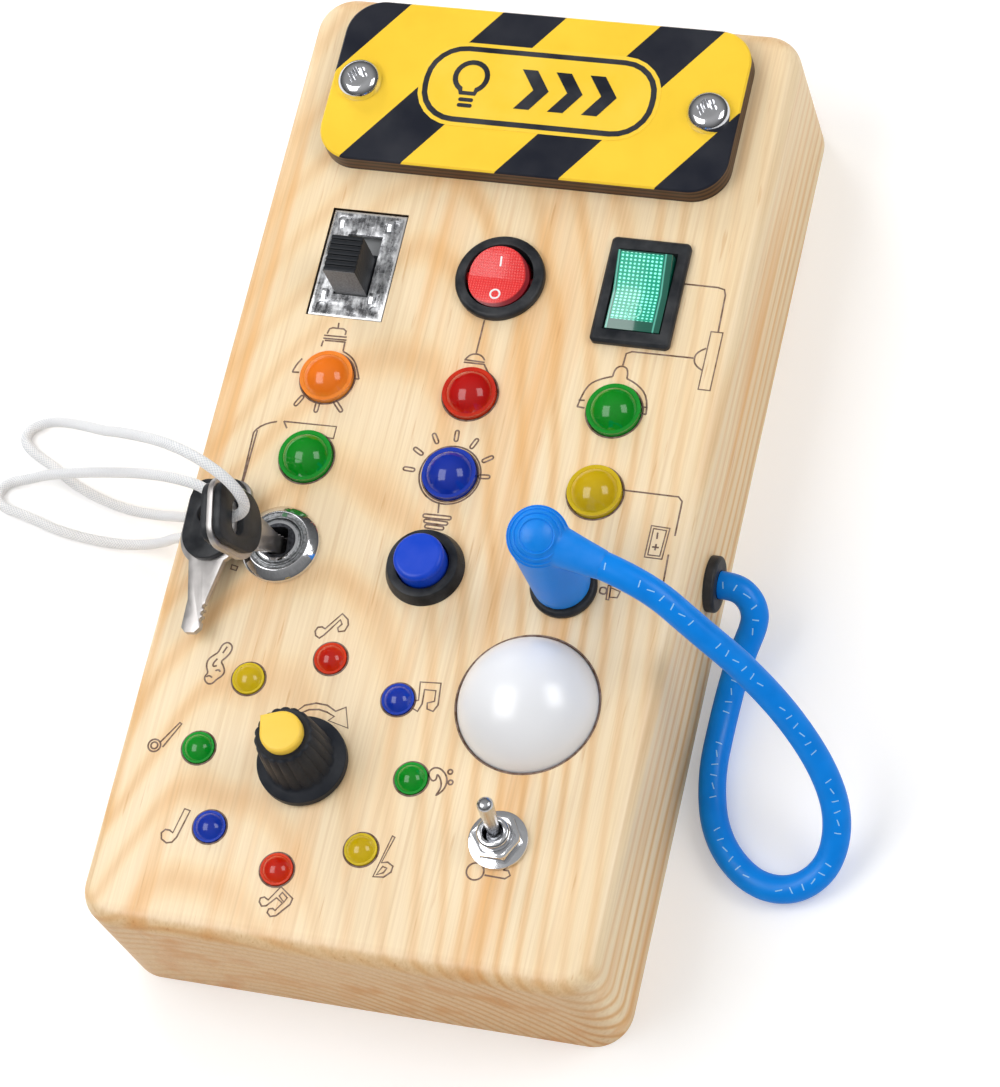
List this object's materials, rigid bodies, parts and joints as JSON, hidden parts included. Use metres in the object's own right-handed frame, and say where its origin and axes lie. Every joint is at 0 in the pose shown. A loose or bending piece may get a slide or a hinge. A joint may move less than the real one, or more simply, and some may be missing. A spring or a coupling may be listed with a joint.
{
  "type": "wooden busy board",
  "caption": "Flat wooden activity board for a small child, with switches, lamps, a key lock, a selector knob, a dome light and a patch cord on its face.",
  "frame": {"origin": "middle of the back face, on the surface that the board lies on", "axes": "+Z out of the front face, +Y along the board towards its striped plate, +X to the right seen from the front"},
  "size_m": [0.1829, 0.1884, 0.0647],
  "materials": {
    "pine": "satin clear lacquer over pale pine",
    "birch_ply": "plain plywood",
    "warning_laminate": "yellow and blue-black striped laminate",
    "zinc_steel": "zinc plated, slightly mottled",
    "bright_chrome": "bright chrome",
    "key_steel": "plain satin steel",
    "black_nylon": "fine satin black",
    "blue_plastic": "glossy blue",
    "red_plastic": "translucent red",
    "green_lens": "translucent green",
    "orange_lens": "translucent orange",
    "blue_lens": "translucent blue",
    "yellow_lens": "translucent yellow",
    "yellow_plastic": "satin yellow",
    "milky_lens": "milky white",
    "grey_plastic": "plain grey",
    "cell_wrap": "plain green wrap",
    "green_board": "solder mask green",
    "spring_steel": "plain spring wire",
    "blue_cord": "glossy blue sleeve",
    "white_string": "shiny white braid"
  },
  "bodies": {
    "root": {"back_cover": "birch_ply", "back_cover_screws": "zinc_steel", "battery_box": "black_nylon", "battery_cells": "cell_wrap", "battery_contacts": "spring_steel", "battery_door": "black_nylon", "battery_door_screw": "zinc_steel", "blue_beads": "blue_lens", "blue_lamp": "blue_lens", "circuit_board": "green_board", "cord_grommet": "black_nylon", "dome_cover": "milky_lens", "dome_lamp": "green_board", "green_beads": "green_lens", "green_lamps": "green_lens", "key_string": "white_string", "lamp_leads": "zinc_steel", "lit_rocker_housing": "black_nylon", "lock_body": "bright_chrome", "orange_lamp": "orange_lens", "panel_nuts": "zinc_steel", "patch_cord": "blue_cord", "plate_screws": "zinc_steel", "push_button_body": "black_nylon", "push_button_spring": "spring_steel", "red_beads": "red_plastic", "red_lamp": "red_plastic", "rocker_terminals": "zinc_steel", "round_rocker_housing": "black_nylon", "selector_body": "zinc_steel", "selector_nut": "zinc_steel", "slide_switch_base": "grey_plastic", "slide_switch_frame": "zinc_steel", "socket_body": "black_nylon", "spare_key_blade": "key_steel", "spare_key_grip": "black_nylon", "spare_key_string": "white_string", "switch_wires": "red_plastic", "toggle_body": "grey_plastic", "toggle_bushing": "bright_chrome", "toggle_nut": "bright_chrome", "toggle_washer": "bright_chrome", "warning_plate": "warning_laminate", "wooden_body": "pine", "yellow_beads": "yellow_lens", "yellow_lamp": "yellow_lens"},
    "slide_switch": {"slide_switch_knob": "black_nylon"},
    "round_rocker": {"round_rocker_paddle": "red_plastic"},
    "lit_rocker": {"lit_rocker_paddle": "green_lens"},
    "push_button": {"push_button_cap": "blue_plastic"},
    "selector": {"selector_shaft": "zinc_steel", "selector_knob": "black_nylon", "knob_pointer": "yellow_plastic"},
    "toggle": {"toggle_lever": "bright_chrome"},
    "lock_cylinder": {"lock_cylinder": "key_steel"},
    "key": {"key_blade": "key_steel", "key_grip": "black_nylon", "key_string_end": "white_string"},
    "plug": {"plug_boot": "blue_cord", "plug_pin": "bright_chrome"}
  },
  "joints": [
    {"name": "slide_switch_slide", "type": "slide", "parent": "root", "child": "slide_switch", "axis": [0, 1, 0], "range_m": [0, 0.0045]},
    {"name": "round_rocker_tilt", "type": "hinge", "parent": "root", "child": "round_rocker", "pos_m": [0.0012, 0.03749, 0.0317], "axis": [1, 0, 0], "range_deg": [-20, 0]},
    {"name": "lit_rocker_tilt", "type": "hinge", "parent": "root", "child": "lit_rocker", "pos_m": [0.0281, 0.03749, 0.0317], "axis": [1, 0, 0], "range_deg": [-20, 0]},
    {"name": "push_button_travel", "type": "slide", "parent": "root", "child": "push_button", "axis": [0, 0, 1], "range_m": [-0.0024, 0], "stiffness_N_per_m": 300, "deforming": ["push_button_spring"]},
    {"name": "selector_turn", "type": "hinge", "parent": "root", "child": "selector", "pos_m": [-0.0126, -0.06021, 0.0322], "axis": [0, 0, 1], "range_deg": [-315, 0]},
    {"name": "toggle_flip", "type": "hinge", "parent": "root", "child": "toggle", "pos_m": [0.0255, -0.0691, 0.0346], "axis": [1, 0, 0], "range_deg": [0, 22]},
    {"name": "lock_turn", "type": "hinge", "parent": "root", "child": "lock_cylinder", "pos_m": [-0.0273, -0.02001, 0.0346], "axis": [0, 0, 1], "range_deg": [-90, 0]},
    {"name": "key_insertion", "type": "slide", "parent": "lock_cylinder", "child": "key", "axis": [-0.1845, -0.1665, 0.9686], "range_m": [0, 0.009]},
    {"name": "plug_insertion", "type": "slide", "parent": "root", "child": "plug", "axis": [0, 0, 1], "range_m": [0, 0.016]}
  ]
}
